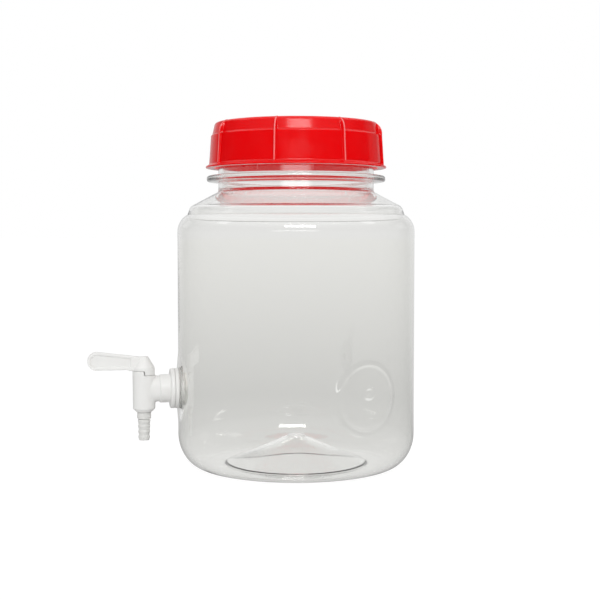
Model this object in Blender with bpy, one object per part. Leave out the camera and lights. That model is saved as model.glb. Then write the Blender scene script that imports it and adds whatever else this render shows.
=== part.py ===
"""A one-gallon plastic carboy: clear wide-mouth jar, ribbed screw lid with its gasket, and small plug tap.

Metres, +Z up. The jar stands on Z = 0 and the origin is the middle of the object's footprint.
The tap points along -X. Angles are counted from +X, anticlockwise seen from above.
"""

import math

import bmesh
import bpy
from mathutils import Euler, Vector

# Fits between pieces
seat_gap = 0.0003            # between two faces that rest on each other
running_gap = 0.0003         # round a piece that turns
hole_gap = 0.0004            # round the threaded stem in the holes it passes through

# Jar
body_radius = 0.0826         # at the top of the straight wall
body_taper = 0.0006          # the wall is this much narrower in radius at its foot
wall = 0.0013
base_wall = 0.0018
base_corner_depth = 0.0190   # how far the rounded corner runs in from the wall
base_corner_height = 0.0240
foot_width = 0.0145          # flat ring that the jar stands on
foot_step = 0.0018           # small riser at the inner edge of that ring
pushup_height = 0.0190       # cone pushed up into the jar
gate_radius = 0.0056         # flat at the top of the cone
straight_height = 0.1398
top_corner_radius = 0.0124
top_corner_sweep = math.radians(61)
band_height = 0.00545        # steep band between the top corner and the shoulder
band_depth = 0.0018
shoulder_slope = math.radians(27)
shoulder_edge_radius = 0.0014

# Neck
neck_radius = 0.0543
neck_wall = 0.0029
neck_height = 0.0440
neck_lip_radius = 0.0008
support_ring_width = 0.0080
support_ring_thickness = 0.0044
support_ring_rise = 0.0067   # above the foot of the neck

# Screw thread of neck and lid
thread_pitch = 0.0060
thread_depth = 0.0023
thread_root_width = 0.0030
thread_crest_width = 0.0014
thread_crest_gap = 0.0006    # crest of one thread to the wall of the other
thread_flank_gap = 0.0004
thread_top_drop = 0.0060     # top of the neck to the end of its thread
neck_thread_turns = 1.75
lid_thread_turns = 1.25
thread_start_angle = math.radians(200)
thread_fade_angle = math.radians(30)
thread_end_height = 0.05     # share of the full height left at the very ends of a thread
thread_rooting = 0.0006      # how far a thread's root is sunk into its wall

# Lid
lid_wall = 0.0022
lid_roof = 0.0019
lid_flare = 0.0013           # the skirt widens by this much towards its rim
lid_depth = 0.0315
lid_shoulder_radius = 0.0080
lid_ledge_height = 0.0010    # small ledge between the shoulder and the skirt
lid_ledge_depth = 0.0010
lid_inner_chamfer = 0.0014   # between the roof and the wall round the top of the neck
lid_land_gap = 0.0005        # round the top of the neck
rim_overhang = 0.0023
rim_thickness = 0.0011
rim_root_height = 0.0027
rib_count = 8
rib_width = 0.0034
rib_crest_width = 0.0014
rib_proud = 0.0018
rib_top_rise = 0.0003
rib_first_angle = math.radians(20.4)

# Gasket
gasket_thickness = 0.0015
gasket_lap = 0.0009          # how far it reaches into the mouth
gasket_inset = 0.0008        # how far it stays inside the neck's outer edge

# Ports: two round raised pads, one drilled for the tap
port_height = 0.0553
port_face_radius = 0.0192
port_flare = 0.0042          # sloping border round the flat face
port_stand_off = 0.0006      # flat face beyond the foot of the straight wall
port_wall = 0.0015
port_rooting = 0.0003        # how far the border's outer edge is sunk into the wall
port_spread = math.radians(113)
tap_angle = math.radians(180)

# Tap body
stem_radius = 0.0079
washer_radius = 0.01365
washer_thickness = 0.0020
flange_thickness = 0.0029
collar_radius = 0.00965
collar_length = 0.0072
arm_radius = 0.00885
arm_waist = 0.0068           # half width of the arm where it meets the barrel
arm_gusset = 0.0018          # extra depth below the arm at the barrel
arm_gusset_start = 0.0006    # the same, half way along the arm
arm_bury = 0.0047            # where the arm reaches full depth, short of the barrel axis
barrel_offset = 0.0104       # collar to barrel axis
barrel_radius = 0.0079
barrel_draft = 0.0003
barrel_rise = 0.0123
barrel_drop = 0.0134
nose_height = 0.0023
nose_lip = 0.0006
water_radius = 0.0027

# Lock nut and the washer behind it, inside the jar
inner_washer_radius = 0.0120
inner_washer_thickness = 0.0015
nut_across_flats = 0.0210
nut_thickness = 0.0040
stem_past_nut = 0.0005

# Plug and hose barb
plug_radius = 0.0043
plug_bore_radius = 0.0024
plug_roof = 0.0040           # solid plug above its side port
plug_top_drop = 0.0005       # plug's shoulder below the barrel's rim
shank_side = 0.0044
shank_height = 0.0055
spout_collar_radius = 0.0047
spout_collar_height = 0.0042
barb_radius = 0.0039
barb_end_radius = 0.0034
barb_length = 0.0147
barb_count = 4
barb_ridge = 0.0004
barb_ridge_fall = 0.0013     # from the foot of a ridge's slope to its edge

# Lever
hub_radius = 0.0072
hub_top_radius = 0.0026
hub_height = 0.0098
hub_rim_height = 0.0021
lever_reach = 0.0383
lever_thickness = 0.0050
lever_rise = 0.0007          # underside of the blade above the hub's underside
lever_root_height = 0.0085
lever_tip_height = 0.0125
lever_border = 0.0020
lever_recess = 0.0008
lever_foot_reach = 0.0107
lever_foot_thickness = 0.0045
lever_swing = math.radians(90)
skirt_depth = 0.0027
skirt_gap = 0.0007           # plug to the inside of the stop skirt
skirt_start = math.radians(-90)
skirt_end = math.radians(58)
notch_clearance = math.radians(4)
notch_floor_gap = 0.0005

# Facets
round_segments = 64
small_segments = 32
thread_segments = 40
base_corner_steps = 8
top_corner_steps = 4
lid_shoulder_steps = 5
lid_panel_steps = 5
lever_tip_steps = 10
skirt_steps = 12
notch_steps = 20
corner_share = 0.45          # a rounded corner uses at most this much of each side
sharp_angle = math.radians(35)
weld_distance = 1e-6
see_through_alpha = 0.3      # viewport alpha of a clear plastic


# Levels and reaches worked out from the sizes above
body_foot_radius = body_radius - body_taper
foot_outer_radius = body_foot_radius - base_corner_depth
pushup_radius = foot_outer_radius - foot_width
straight_top = base_corner_height + straight_height
band_foot_radius = body_radius - top_corner_radius * (1 - math.cos(top_corner_sweep))
band_foot = straight_top + top_corner_radius * math.sin(top_corner_sweep)
band_top_radius = band_foot_radius - band_depth
band_top = band_foot + band_height
neck_foot = band_top + (band_top_radius - neck_radius) * math.tan(shoulder_slope)
neck_top = neck_foot + neck_height
neck_bore_radius = neck_radius - neck_wall

thread_height = thread_pitch * neck_thread_turns
neck_thread_foot = neck_top - thread_top_drop - thread_height
mean_thread_width = (thread_root_width + thread_crest_width) / 2
lid_thread_foot = neck_thread_foot - mean_thread_width - thread_flank_gap

lid_bore_radius = neck_radius + thread_depth + thread_crest_gap
lid_land_radius = neck_radius + lid_land_gap
lid_land_foot = neck_top - thread_top_drop + thread_root_width
lid_roof_underside = neck_top + seat_gap + gasket_thickness + seat_gap
lid_top = lid_roof_underside + lid_roof
lid_foot = lid_top - lid_depth
skirt_top_radius = lid_bore_radius + lid_wall
skirt_foot_radius = skirt_top_radius + lid_flare
lid_crease = lid_top - lid_shoulder_radius - rib_top_rise

port_face = body_foot_radius + port_stand_off
flange_back = port_face + seat_gap + washer_thickness + seat_gap
flange_front = flange_back + flange_thickness
collar_front = flange_front + collar_length
barrel_reach = collar_front + barrel_offset
washer_inner_radius = stem_radius + hole_gap
port_inside = port_face - port_wall
nut_back = port_inside - seat_gap - inner_washer_thickness - seat_gap
stem_end = nut_back - nut_thickness - stem_past_nut

barrel_top = port_height + barrel_rise
nose_top = port_height - barrel_drop
barrel_foot = nose_top - nose_height
barrel_bore_radius = plug_radius + running_gap
nose_radius = barrel_bore_radius + nose_lip
spout_top = barrel_foot - running_gap
spout_collar_foot = spout_top - spout_collar_height
spout_foot = spout_collar_foot - barb_length
hub_foot = barrel_top + running_gap
plug_top = barrel_top - plug_top_drop
notch_floor = hub_foot - skirt_depth - notch_floor_gap

tap_side_reach = barrel_reach + lever_reach
spare_angle = tap_angle + port_spread
port_side_reach = port_face * abs(math.sin(spare_angle)) + port_face_radius * abs(math.cos(spare_angle))
jar_x = (tap_side_reach - body_radius) / 2
jar_y = (port_side_reach - body_radius) / 2
jar_axis = Vector((jar_x, jar_y, 0))
tap_axis = Vector((jar_x - barrel_reach, jar_y, 0))


def clear_scene():
    for old in list(bpy.data.objects):
        bpy.data.objects.remove(old, do_unlink=True)


def plastic(name, colour, roughness, clearness=0.0):
    """A Principled material; clearness is how much light passes through."""
    made = bpy.data.materials.new(name)
    made.use_nodes = True
    made.diffuse_color = (*colour, 1 - (1 - see_through_alpha) * clearness)
    shader = made.node_tree.nodes["Principled BSDF"]
    shader.inputs["Base Color"].default_value = (*colour, 1)
    shader.inputs["Roughness"].default_value = roughness
    shader.inputs["Metallic"].default_value = 0
    shader.inputs["Transmission Weight"].default_value = clearness
    return made


def from_bmesh(name, bm, material=None):
    """Welds, turns the faces outwards and makes the object."""
    bmesh.ops.remove_doubles(bm, verts=bm.verts, dist=weld_distance)
    bmesh.ops.recalc_face_normals(bm, faces=bm.faces)
    mesh = bpy.data.meshes.new(name)
    bm.to_mesh(mesh)
    bm.free()
    mesh.shade_smooth()
    mesh.set_sharp_from_angle(angle=sharp_angle)
    made = bpy.data.objects.new(name, mesh)
    bpy.context.scene.collection.objects.link(made)
    if material:
        mesh.materials.append(material)
    return made


def placed(thing, location, angle=0.0, tilt=0.0):
    """Moves a piece that was made upright about Z; tilt leans +Z towards the direction at the angle."""
    thing.rotation_euler = Euler((0, tilt, angle), "XYZ")
    thing.location = location
    return thing


def arc(centre, radii, start, end, steps):
    """Points along an elliptical arc, the angles in radians."""
    angles = [start + (end - start) * k / steps for k in range(steps + 1)]
    return [(centre[0] + radii[0] * math.cos(a), centre[1] + radii[1] * math.sin(a)) for a in angles]


def rounded(points, radius, steps=3):
    """The same open outline with each inner corner replaced by a short curve of about this radius."""
    corners = [Vector(p) for p in points]
    out = [corners[0]]
    for before, here, after in zip(corners, corners[1:], corners[2:]):
        back = before - here
        ahead = after - here
        half = back.angle(ahead) / 2
        reach = min(radius / math.tan(half), corner_share * back.length, corner_share * ahead.length)
        first = here + back.normalized() * reach
        last = here + ahead.normalized() * reach
        for k in range(steps + 1):
            t = k / steps
            out.append(first * (1 - t) ** 2 + here * (2 * t * (1 - t)) + last * t ** 2)
    out.append(corners[-1])
    return [tuple(p) for p in out]


def turned(name, outline, segments, material=None, closed=False):
    """A body turned about Z from (radius, height) points."""
    bm = bmesh.new()
    verts = [bm.verts.new((r, 0, z)) for r, z in outline]
    edges = [bm.edges.new(pair) for pair in zip(verts, verts[1:])]
    if closed:
        edges.append(bm.edges.new((verts[-1], verts[0])))
    bmesh.ops.spin(bm, geom=verts + edges, axis=(0, 0, 1), cent=(0, 0, 0),
                   angle=2 * math.pi, steps=segments, use_merge=True)
    return from_bmesh(name, bm, material)


def lofted(name, rings, material=None):
    """A body through rings of equal count, closed by a face at each end."""
    bm = bmesh.new()
    rows = [[bm.verts.new(p) for p in ring] for ring in rings]
    count = len(rows[0])
    for low, high in zip(rows, rows[1:]):
        for k in range(count):
            n = (k + 1) % count
            bm.faces.new((low[k], low[n], high[n], high[k]))
    bm.faces.new(rows[0])
    bm.faces.new(rows[-1])
    return from_bmesh(name, bm, material)


def extruded(name, outline, low, high, material=None):
    """A flat outline in XZ given a thickness along Y."""
    return lofted(name, [[(x, y, z) for x, z in outline] for y in (low, high)], material)


def cylinder(name, radius, low, high, segments=small_segments):
    return turned(name, [(0, low), (radius, low), (radius, high), (0, high)], segments)


def sector(name, inner, outer, start, end, low, high, steps):
    """Part of a ring between two angles, as one closed body."""
    angles = [start + (end - start) * k / steps for k in range(steps + 1)]
    corners = [(inner, low), (outer, low), (outer, high), (inner, high)]
    rings = [[(r * math.cos(a), r * math.sin(a), z) for r, z in corners] for a in angles]
    return lofted(name, rings)


def combine(body, tool, operation):
    """Joins the tool to the body, or cuts it away, and keeps the tool as a hidden guide."""
    step = body.modifiers.new(tool.name, "BOOLEAN")
    step.operation = operation
    step.solver = "EXACT"
    step.object = tool
    tool.hide_render = True
    tool.display_type = "WIRE"


def join(body, tool):
    combine(body, tool, "UNION")


def cut(body, tool):
    combine(body, tool, "DIFFERENCE")


def thread_ridge(name, root_radius, crest_radius, foot, turns):
    """A right-hand helical ridge; its height fades in and out, and its root is sunk into the wall."""
    count = round(turns * thread_segments)
    total = 2 * math.pi * turns
    sunk = root_radius - math.copysign(thread_rooting, crest_radius - root_radius)
    rings = []
    for k in range(count + 1):
        turn = total * k / count
        fade = min(1, turn / thread_fade_angle, (total - turn) / thread_fade_angle)
        share = thread_end_height + (1 - thread_end_height) * fade
        crest = root_radius + (crest_radius - root_radius) * share
        middle = foot + thread_pitch * turn / (2 * math.pi)
        angle = thread_start_angle + turn
        corners = ((sunk, -thread_root_width / 2), (crest, -thread_crest_width / 2),
                   (crest, thread_crest_width / 2), (sunk, thread_root_width / 2))
        rings.append([(r * math.cos(angle), r * math.sin(angle), middle + h) for r, h in corners])
    return lofted(name, rings)


def jar_outside():
    """Outline of the jar's outer surface, from the middle of its base to the middle of its mouth."""
    base = [(0, pushup_height), (gate_radius, pushup_height), (pushup_radius, foot_step),
            (pushup_radius + foot_step, 0)]
    corner = arc((foot_outer_radius, base_corner_height), (base_corner_depth, base_corner_height),
                 -math.pi / 2, 0, base_corner_steps)
    top_corner = arc((body_radius - top_corner_radius, straight_top),
                     (top_corner_radius, top_corner_radius), 0, top_corner_sweep, top_corner_steps)
    shoulder = rounded([(band_foot_radius, band_foot), (band_top_radius, band_top),
                        (neck_radius, neck_foot), (neck_radius, neck_foot + support_ring_rise)],
                       shoulder_edge_radius)
    ring_foot = neck_foot + support_ring_rise
    ring_edge = neck_radius + support_ring_width
    ring = [(ring_edge, ring_foot), (ring_edge, ring_foot + support_ring_thickness),
            (neck_radius, ring_foot + support_ring_thickness)]
    lip = [(neck_radius, neck_top - neck_lip_radius), (neck_radius - neck_lip_radius, neck_top),
           (0, neck_top)]
    return base + corner + top_corner + shoulder[1:] + ring + lip


def jar_inside():
    """Outline of the space inside the jar, run past the mouth so that it cuts it open."""
    slope_drop = (wall + neck_wall) / 2 / math.cos(shoulder_slope)
    bore_foot = neck_foot + neck_wall * math.tan(shoulder_slope) - slope_drop
    base = [(0, pushup_height + base_wall), (gate_radius, pushup_height + base_wall),
            (pushup_radius, foot_step + base_wall), (pushup_radius + foot_step, base_wall)]
    corner = arc((foot_outer_radius, base_corner_height),
                 (base_corner_depth - wall, base_corner_height - base_wall),
                 -math.pi / 2, 0, base_corner_steps)
    top_corner = arc((body_radius - top_corner_radius, straight_top),
                     (top_corner_radius - wall, top_corner_radius - wall),
                     0, top_corner_sweep, top_corner_steps)
    shoulder = [(band_top_radius - wall, band_top - wall / 2), (neck_bore_radius, bore_foot)]
    past_mouth = neck_top + neck_wall
    return base + corner + top_corner + shoulder + [(neck_bore_radius, past_mouth), (0, past_mouth)]


def port_pad(name, angle, inset=0.0):
    """The raised pad of a port, or with an inset the pocket behind it: a flat round face whose border runs
    down to the curved wall all round. Its axis is square to the wall."""
    face = port_face - (port_wall if inset else 0)
    face_radius = port_face_radius - inset
    edge_radius = face_radius + port_flare
    wall_radius = body_foot_radius - inset
    back = wall_radius - edge_radius
    turns = [2 * math.pi * k / small_segments for k in range(small_segments)]
    sunk = [math.sqrt(wall_radius ** 2 - (edge_radius * math.sin(a)) ** 2) - port_rooting for a in turns]
    edge = [(edge_radius * math.cos(a), edge_radius * math.sin(a)) for a in turns]
    pad = lofted(name, [[(x, y, back) for x, y in edge],
                        [(x, y, z) for (x, y), z in zip(edge, sunk)],
                        [(face_radius * math.cos(a), face_radius * math.sin(a), face) for a in turns]])
    return placed(pad, jar_axis + Vector((0, 0, port_height)), angle, math.pi / 2)


def make_jar(material):
    jar = placed(turned("jar", jar_outside(), round_segments, material), jar_axis)
    join(jar, port_pad("tap_port_pad", tap_angle))
    join(jar, port_pad("spare_port_pad", spare_angle))
    ridge = thread_ridge("neck_thread_ridge", neck_radius, neck_radius + thread_depth,
                         neck_thread_foot, neck_thread_turns)
    join(jar, placed(ridge, jar_axis))
    cut(jar, placed(turned("jar_space", jar_inside(), round_segments), jar_axis))
    cut(jar, port_pad("tap_port_pocket", tap_angle, wall))
    cut(jar, port_pad("spare_port_pocket", spare_angle, wall))
    hole = cylinder("tap_hole", washer_inner_radius, port_inside - port_wall, port_face + port_wall)
    cut(jar, placed(hole, jar_axis + Vector((0, 0, port_height)), tap_angle, math.pi / 2))
    return jar


def lid_angles():
    """Angles round the lid with how far each stands on a rib, from 0 to 1."""
    half = rib_width / 2 / skirt_foot_radius
    crest = rib_crest_width / 2 / skirt_foot_radius
    pitch = 2 * math.pi / rib_count
    found = []
    for rib in range(rib_count):
        middle = rib_first_angle + rib * pitch
        found += [(middle - half, 0), (middle - crest, 1), (middle + crest, 1)]
        step = (pitch - 2 * half) / lid_panel_steps
        found += [(middle + half + k * step, 0) for k in range(lid_panel_steps)]
    return found


def make_lid(material):
    """Inside first, from the roof down, then the rim and the outside back up to the top."""
    inside = [(lid_land_radius - lid_inner_chamfer, lid_roof_underside),
              (lid_land_radius, lid_roof_underside - lid_inner_chamfer),
              (lid_land_radius, lid_land_foot + thread_crest_gap),
              (lid_bore_radius, lid_land_foot), (lid_bore_radius, lid_foot)]
    rim = [(skirt_foot_radius + rim_overhang, lid_foot),
           (skirt_foot_radius + rim_overhang, lid_foot + rim_thickness)]
    shoulder_middle = (skirt_top_radius - lid_ledge_depth - lid_shoulder_radius,
                       lid_top - lid_shoulder_radius)
    shoulder = arc(shoulder_middle, (lid_shoulder_radius, lid_shoulder_radius),
                   0, math.pi / 2, lid_shoulder_steps)
    ribbed = [(skirt_foot_radius, lid_foot + rim_root_height),
              (skirt_top_radius, lid_crease - lid_ledge_height),
              (skirt_top_radius - lid_ledge_depth, lid_crease)] + shoulder
    top_edge = [(shoulder[-1][0] - rib_proud, lid_top)]
    rings = []
    for r, z in inside + rim:
        rings.append([(r * math.cos(a), r * math.sin(a), z) for a, _ in lid_angles()])
    for r, z in ribbed:
        rings.append([((r + on * rib_proud) * math.cos(a), (r + on * rib_proud) * math.sin(a),
                       z + on * rib_top_rise) for a, on in lid_angles()])
    for r, z in top_edge:
        rings.append([(r * math.cos(a), r * math.sin(a), z) for a, _ in lid_angles()])
    lid = placed(lofted("lid", rings, material), jar_axis)
    ridge = thread_ridge("lid_thread_ridge", lid_bore_radius, lid_bore_radius - thread_depth,
                         lid_thread_foot, lid_thread_turns)
    join(lid, placed(ridge, jar_axis))
    return lid


def flat_ring(name, inner, outer, low, high, segments, material):
    return turned(name, [(inner, low), (outer, low), (outer, high), (inner, high)],
                  segments, material, closed=True)


def make_gasket(material):
    foot = neck_top + seat_gap
    gasket = flat_ring("lid_gasket", neck_bore_radius - gasket_lap, neck_radius - gasket_inset,
                       foot, foot + gasket_thickness, round_segments, material)
    return placed(gasket, jar_axis)


def on_tap_line(thing):
    """Lays a piece made about Z along the tap's stem: heights become distances from the jar's axis."""
    return placed(thing, jar_axis + Vector((0, 0, port_height)), tap_angle, math.pi / 2)


def make_washers(material):
    outer = flat_ring("tap_outer_washer", washer_inner_radius, washer_radius,
                      port_face + seat_gap, port_face + seat_gap + washer_thickness,
                      small_segments, material)
    inner = flat_ring("tap_inner_washer", washer_inner_radius, inner_washer_radius,
                      port_inside - seat_gap - inner_washer_thickness, port_inside - seat_gap,
                      small_segments, material)
    return on_tap_line(outer), on_tap_line(inner)


def make_nut(material):
    corner = nut_across_flats / 2 / math.cos(math.pi / 6)
    low = nut_back - nut_thickness
    nut = turned("tap_lock_nut", [(0, low), (corner, low), (corner, nut_back), (0, nut_back)], 6, material)
    bore = cylinder("nut_bore", washer_inner_radius, low - nut_thickness, nut_back + nut_thickness)
    cut(nut, bore)
    on_tap_line(bore)
    return on_tap_line(nut)


def arm_ring(distance, half_width, extra_depth):
    """One section of the arm, square to its length, deeper below the middle by extra_depth."""
    points = []
    for k in range(small_segments):
        a = 2 * math.pi * k / small_segments
        depth = arm_radius + (extra_depth if math.sin(a) < 0 else 0)
        points.append((-distance, half_width * math.cos(a), depth * math.sin(a)))
    return points


def make_tap_body(material):
    stem = turned("tap_body", [(0, stem_end), (stem_radius, stem_end), (stem_radius, flange_back),
                               (washer_radius, flange_back), (washer_radius, flange_front),
                               (collar_radius, flange_front), (collar_radius, collar_front),
                               (0, collar_front)], small_segments, material)
    on_tap_line(stem)
    waist = barrel_reach - arm_bury
    arm = lofted("tap_arm", [arm_ring(flange_front, arm_radius, 0), arm_ring(collar_front, arm_radius, 0),
                             arm_ring((collar_front + waist) / 2, (arm_radius + arm_waist) / 2,
                                      arm_gusset_start),
                             arm_ring(waist, arm_waist, arm_gusset),
                             arm_ring(barrel_reach, arm_waist, arm_gusset)])
    join(stem, placed(arm, jar_axis + Vector((0, 0, port_height))))
    barrel = turned("tap_barrel", [(0, barrel_foot), (nose_radius, barrel_foot),
                                   (barrel_radius - barrel_draft, nose_top),
                                   (barrel_radius, barrel_top), (0, barrel_top)], small_segments)
    notch = sector("stop_notch", plug_radius - running_gap, barrel_radius + nose_height,
                   skirt_start - notch_clearance, skirt_end + lever_swing + notch_clearance,
                   notch_floor, barrel_top + nose_height, notch_steps)
    cut(placed(barrel, tap_axis), placed(notch, tap_axis))
    join(stem, barrel)
    way_end = barrel_reach - barrel_bore_radius / 3
    cut(stem, on_tap_line(cylinder("water_way", water_radius, stem_end - nut_thickness, way_end)))
    bore = cylinder("barrel_bore", barrel_bore_radius, barrel_foot - nose_height, barrel_top + nose_height)
    cut(stem, placed(bore, tap_axis))
    return stem


def make_plug(material):
    """Turned plug with its collar and ridged barb; the port meets the arm when the lever is swung open."""
    pitch = barb_length / barb_count
    barb = []
    for k in range(barb_count):
        share = k / barb_count
        top = spout_collar_foot - k * pitch
        radius = barb_radius + (barb_end_radius - barb_radius) * share
        barb += [(radius, top), (radius + barb_ridge, top - barb_ridge_fall)]
    outline = [(0, plug_top), (plug_radius, plug_top), (plug_radius, barrel_foot + running_gap),
               (plug_radius, spout_top), (spout_collar_radius, spout_top),
               (spout_collar_radius, spout_collar_foot)] + barb + [
               (barb_end_radius, spout_foot), (plug_bore_radius, spout_foot),
               (plug_bore_radius, port_height + plug_roof), (0, port_height + plug_roof)]
    plug = placed(turned("tap_plug", outline, small_segments, material), tap_axis)
    half = shank_side / 2
    square = [(-half, -half), (half, -half), (half, half), (-half, half)]
    shank = lofted("plug_shank", [[(x, y, z) for x, y in square]
                                  for z in (plug_top - plug_roof / 2, plug_top + shank_height)])
    join(plug, placed(shank, tap_axis))
    port = cylinder("plug_port", water_radius, 0, plug_radius * 2)
    cut(plug, placed(port, tap_axis + Vector((0, 0, port_height)), tap_angle + lever_swing, math.pi / 2))
    return plug


def blade_outline(border):
    """Side outline of the lever's blade, x outwards from the barrel axis; border draws it in all round."""
    foot = hub_foot + lever_rise + border
    tip_radius = lever_tip_height / 2 - border
    tip_middle = lever_reach - lever_tip_height / 2
    slope = (lever_tip_height - lever_root_height) / tip_middle
    lean = math.atan(slope)
    tip = arc((tip_middle, foot + tip_radius), (tip_radius, tip_radius), -math.pi / 2, math.pi / 2 + lean,
              lever_tip_steps)
    root = hub_radius + border if border else 0
    root_top = foot + lever_root_height + slope * root - 2 * border
    return [(-x, z) for x, z in [(root, foot)] + tip + [(root, root_top)]]


def make_lever(material):
    hub = turned("tap_lever", [(0, hub_foot), (hub_radius, hub_foot),
                               (hub_radius, hub_foot + hub_rim_height),
                               (hub_top_radius, hub_foot + hub_height), (0, hub_foot + hub_height)],
                 small_segments, material)
    placed(hub, tap_axis)
    half = lever_thickness / 2
    join(hub, placed(extruded("lever_blade", blade_outline(0), -half, half), tap_axis))
    foot_outline = [(0, hub_foot), (-lever_foot_reach, hub_foot),
                    (-lever_foot_reach, hub_foot + 2 * lever_rise), (0, hub_foot + 2 * lever_rise)]
    foot_half = lever_foot_thickness / 2
    join(hub, placed(extruded("lever_foot", foot_outline, -foot_half, foot_half), tap_axis))
    skirt = sector("stop_skirt", plug_radius + skirt_gap, hub_radius, skirt_start, skirt_end,
                   hub_foot - skirt_depth, hub_foot + hub_rim_height / 2, skirt_steps)
    join(hub, placed(skirt, tap_axis))
    for side in (-1, 1):
        inner, outer = sorted((side * (half - lever_recess), side * lever_thickness))
        recess = extruded(f"lever_recess_{side}", blade_outline(lever_border), inner, outer)
        cut(hub, placed(recess, tap_axis))
    socket_half = shank_side / 2 + seat_gap
    square = [(-socket_half, -socket_half), (socket_half, -socket_half),
              (socket_half, socket_half), (-socket_half, socket_half)]
    socket = lofted("lever_socket", [[(x, y, z) for x, y in square]
                                     for z in (hub_foot - skirt_depth, plug_top + shank_height + seat_gap)])
    cut(hub, placed(socket, tap_axis))
    return hub


def pivot(name, location, pieces):
    """An empty on the axis of a moving piece, which carries the pieces without moving them."""
    empty = bpy.data.objects.new(name, None)
    bpy.context.scene.collection.objects.link(empty)
    empty.location = location
    bpy.context.view_layer.update()
    for piece in pieces:
        piece.parent = empty
        piece.matrix_parent_inverse = empty.matrix_world.inverted()


def main():
    clear_scene()
    pet = plastic("clear_pet", (0.90, 0.91, 0.89), 0.04, 1.0)
    red = plastic("red_polypropylene", (0.80, 0.01, 0.01), 0.25)
    white = plastic("white_polypropylene", (0.82, 0.82, 0.80), 0.40)
    natural = plastic("natural_polyethylene", (0.78, 0.78, 0.76), 0.45, 0.4)
    rubber = plastic("white_silicone", (0.80, 0.80, 0.78), 0.60)
    make_jar(pet)
    lid = make_lid(red)
    gasket = make_gasket(rubber)
    make_washers(rubber)
    make_nut(natural)
    make_tap_body(white)
    plug = make_plug(natural)
    lever = make_lever(white)
    pivot("lid_axis", jar_axis, [lid, gasket])
    pivot("valve_axis", tap_axis, [plug, lever])


main()
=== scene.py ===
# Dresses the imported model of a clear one-gallon carboy with a red screw lid and a small white lever tap.
# Lengths in the dictionaries are millimetres; meshes are written in metres.
import math

import bpy
import numpy as np
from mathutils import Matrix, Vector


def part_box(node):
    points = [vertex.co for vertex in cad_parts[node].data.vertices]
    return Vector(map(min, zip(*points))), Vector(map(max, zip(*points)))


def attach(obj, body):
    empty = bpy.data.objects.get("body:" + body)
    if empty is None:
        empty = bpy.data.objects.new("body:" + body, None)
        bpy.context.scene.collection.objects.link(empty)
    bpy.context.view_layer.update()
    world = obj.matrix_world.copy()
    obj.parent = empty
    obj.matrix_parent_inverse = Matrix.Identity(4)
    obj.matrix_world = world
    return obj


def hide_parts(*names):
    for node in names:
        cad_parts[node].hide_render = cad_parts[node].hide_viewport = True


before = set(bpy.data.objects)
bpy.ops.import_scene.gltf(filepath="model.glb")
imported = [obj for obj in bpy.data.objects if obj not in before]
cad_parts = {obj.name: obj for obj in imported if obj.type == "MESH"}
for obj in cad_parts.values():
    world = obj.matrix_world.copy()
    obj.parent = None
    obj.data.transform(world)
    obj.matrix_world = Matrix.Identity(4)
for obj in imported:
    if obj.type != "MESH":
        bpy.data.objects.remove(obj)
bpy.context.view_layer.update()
print("frame loaded")


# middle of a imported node's box, in mm
def middleOf(nodeName):
    low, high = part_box(nodeName)
    return (low + high) / 2 * 1000


jarAxis = middleOf("lid_gasket")
tapAxis = middleOf("tap_plug")
tapTurn = 180.0     # degrees, the way the tap points
spareTurn = 293.0   # degrees, the way the closed port faces
viewTurn = 259.0    # degrees, where the photographer stood, seen from the jar


# sRGB hex code to the linear colour that shaders take
def hexColour(code):
    channels = [int(code[k:k + 2], 16) / 255 for k in (1, 3, 5)]
    linear = [c / 12.92 if c <= 0.04045 else ((c + 0.055) / 1.055) ** 2.4 for c in channels]
    return (*linear, 1.0)


# adds a node with its settings, values and links; gives the node, or one output by name or number
def addNode(tree, kind, inputs=None, out=None, **settings):
    made = tree.nodes.new("ShaderNode" + kind)
    for key, value in settings.items():
        setattr(made, key, value)
    for key, value in (inputs or {}).items():
        if isinstance(value, bpy.types.NodeSocket):
            tree.links.new(value, made.inputs[key])
        else:
            made.inputs[key].default_value = value
    return made if out is None else made.outputs[out]


# one to three values added, multiplied or otherwise reckoned together, point by point
def reckon(tree, operation, *values):
    return addNode(tree, "Math", dict(enumerate(values)), 0, operation=operation)


# a value that goes from low to high as its measure goes from start to end, in a straight line or eased
def ramp(tree, measure, start, end, low, high, how="LINEAR"):
    return addNode(tree, "MapRange", {0: measure, 1: start, 2: end, 3: low, 4: high}, 0, interpolation_type=how)


# a material with one shader, its output, and the piece's own coordinates to lay patterns on
def newMaterial(name, shaderInputs):
    made = bpy.data.materials.new(name)
    made.use_nodes = True
    tree = made.node_tree
    tree.nodes.clear()
    shader = addNode(tree, "BsdfPrincipled", shaderInputs)
    sink = addNode(tree, "OutputMaterial", {"Surface": shader.outputs[0]})
    return made, tree, shader, sink, addNode(tree, "TexCoord", out="Object")


# noise whose lumps are sizeMm across, on the piece's own coordinates
def lumps(tree, place, sizeMm, detail=2.0, rough=0.5, stretch=(1, 1, 1)):
    lay = addNode(tree, "Mapping", {"Vector": place, "Scale": stretch}, 0)
    return addNode(tree, "TexNoise", {"Vector": lay, "Scale": 1000 / sizeMm, "Detail": detail,
                                      "Roughness": rough}, "Fac")


# bumps stacked one on another; each is a height and its depth in mm
def stackBumps(tree, shader, layers):
    inputs = {}
    for height, depthMm in layers:
        normal = addNode(tree, "Bump", {"Height": height, "Distance": depthMm / 1000, "Strength": 1.0, **inputs}, 0)
        inputs = {"Normal": normal}
    tree.links.new(normal, shader.inputs["Normal"])


# roughness follows a noise: its middle values go from the smoother level to the rougher one
def patchyRoughness(tree, shader, noise, look):
    rough = ramp(tree, noise, 0.35, 0.65, look["roughness"] - look["smoother"], look["roughness"] + look["rougher"])
    tree.links.new(rough, shader.inputs["Roughness"])


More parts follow.
